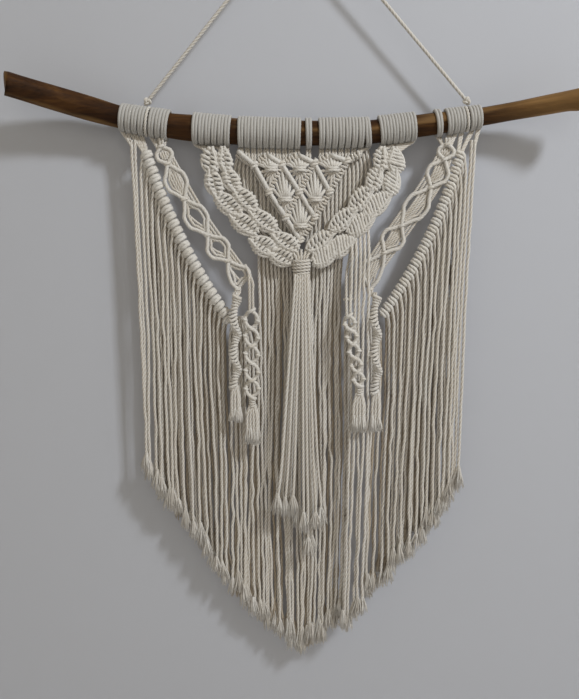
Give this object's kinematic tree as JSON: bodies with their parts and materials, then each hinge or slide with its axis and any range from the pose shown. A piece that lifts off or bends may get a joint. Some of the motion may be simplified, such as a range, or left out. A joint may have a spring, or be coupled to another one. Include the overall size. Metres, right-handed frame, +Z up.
{
  "type": "macrame wall hanging",
  "caption": "Knotted cotton wall hanging on a bent driftwood branch, with diamond bands, a leaf-knot V, a small net, spiral and open tails, a front tassel and a long pointed fringe.",
  "frame": {"origin": "the point where the hanger cord rests on its wall hook", "axes": "+Z up, +X to the right as seen from the front, the front faces -Y and the wall is on the +Y side"},
  "size_m": [0.5387, 0.0491, 0.7489],
  "materials": {
    "cotton_cord": "matte twisted cotton",
    "hanger_cord": "matte twisted cotton",
    "driftwood": "bare weathered wood, satin where worn"
  },
  "bodies": {
    "hanger": {"hanger_cord": "hanger_cord", "hanger_knot_left": "hanger_cord", "hanger_knot_right": "hanger_cord"},
    "branch": {"driftwood_branch": "driftwood", "mount_knots_centre_left": "cotton_cord", "mount_knots_centre_right": "cotton_cord", "mount_knots_centre_single": "cotton_cord", "mount_knots_left_inner": "cotton_cord", "mount_knots_left_outer": "cotton_cord", "mount_knots_right_inner": "cotton_cord", "mount_knots_right_outer": "cotton_cord"},
    "curtain": {"leaf_band_left_inner": "cotton_cord", "leaf_band_left_outer": "cotton_cord", "leaf_band_right_inner": "cotton_cord", "leaf_band_right_outer": "cotton_cord", "diamond_net": "cotton_cord", "net_flowers": "cotton_cord", "side_strands_left": "cotton_cord", "side_strands_right": "cotton_cord", "gathering_knot": "cotton_cord", "centre_fringe_left": "cotton_cord", "centre_fringe_middle": "cotton_cord", "centre_fringe_right": "cotton_cord"},
    "centre_tassel": {"centre_tassel": "cotton_cord"},
    "left_wing": {"wing_row_left": "cotton_cord", "holding_cord_left": "cotton_cord", "diamond_band_left": "cotton_cord", "outer_strands_left": "cotton_cord", "wing_fringe_outer_left": "cotton_cord", "wing_fringe_middle_left": "cotton_cord", "wing_fringe_inner_left": "cotton_cord", "fringe_behind_tails_left": "cotton_cord"},
    "left_spiral_tail": {"spiral_sennit_left": "cotton_cord", "spiral_tuft_left": "cotton_cord"},
    "left_ladder_tail": {"ladder_cords_left": "cotton_cord", "ladder_sennit_left": "cotton_cord", "ladder_wrap_left": "cotton_cord", "ladder_tuft_left": "cotton_cord"},
    "right_wing": {"wing_row_right": "cotton_cord", "holding_cord_right": "cotton_cord", "diamond_band_right": "cotton_cord", "outer_strands_right": "cotton_cord", "wing_fringe_outer_right": "cotton_cord", "wing_fringe_middle_right": "cotton_cord", "wing_fringe_inner_right": "cotton_cord", "fringe_behind_tails_right": "cotton_cord", "front_strands_right": "cotton_cord", "ladder_cords_right": "cotton_cord", "ladder_sennit_right": "cotton_cord", "ladder_wrap_right": "cotton_cord", "ladder_tuft_right": "cotton_cord"},
    "right_spiral_tail": {"spiral_sennit_right": "cotton_cord", "spiral_tuft_right": "cotton_cord"}
  },
  "joints": [
    {"name": "branch_swing", "type": "hinge", "parent": "hanger", "child": "branch", "pos_m": [-0.1466, 0, -0.18016], "axis": [-1, 0, -0.0083], "range_deg": [0, 15]},
    {"name": "curtain_swing", "type": "hinge", "parent": "branch", "child": "curtain", "pos_m": [0, -0.003, -0.208], "axis": [-1, 0, 0], "range_deg": [0, 25]},
    {"name": "left_wing_swing", "type": "hinge", "parent": "curtain", "child": "left_wing", "pos_m": [-0.15, -0.002, -0.203], "axis": [-1, 0, 0], "range_deg": [0, 12]},
    {"name": "right_wing_swing", "type": "hinge", "parent": "curtain", "child": "right_wing", "pos_m": [0.15, -0.002, -0.203], "axis": [-1, 0, 0], "range_deg": [0, 12]},
    {"name": "tassel_swing", "type": "hinge", "parent": "curtain", "child": "centre_tassel", "pos_m": [-0.001, -0.0135, -0.327], "axis": [-1, 0, 0], "range_deg": [0, 30]},
    {"name": "left_spiral_swing", "type": "hinge", "parent": "left_wing", "child": "left_spiral_tail", "pos_m": [-0.066, -0.012, -0.341], "axis": [-1, 0, 0], "range_deg": [0, 30]},
    {"name": "left_ladder_swing", "type": "hinge", "parent": "left_wing", "child": "left_ladder_tail", "pos_m": [-0.05, -0.012, -0.321], "axis": [-1, 0, 0], "range_deg": [0, 30]},
    {"name": "right_spiral_swing", "type": "hinge", "parent": "right_wing", "child": "right_spiral_tail", "pos_m": [0.071, -0.012, -0.341], "axis": [-1, 0, 0], "range_deg": [0, 30]}
  ]
}
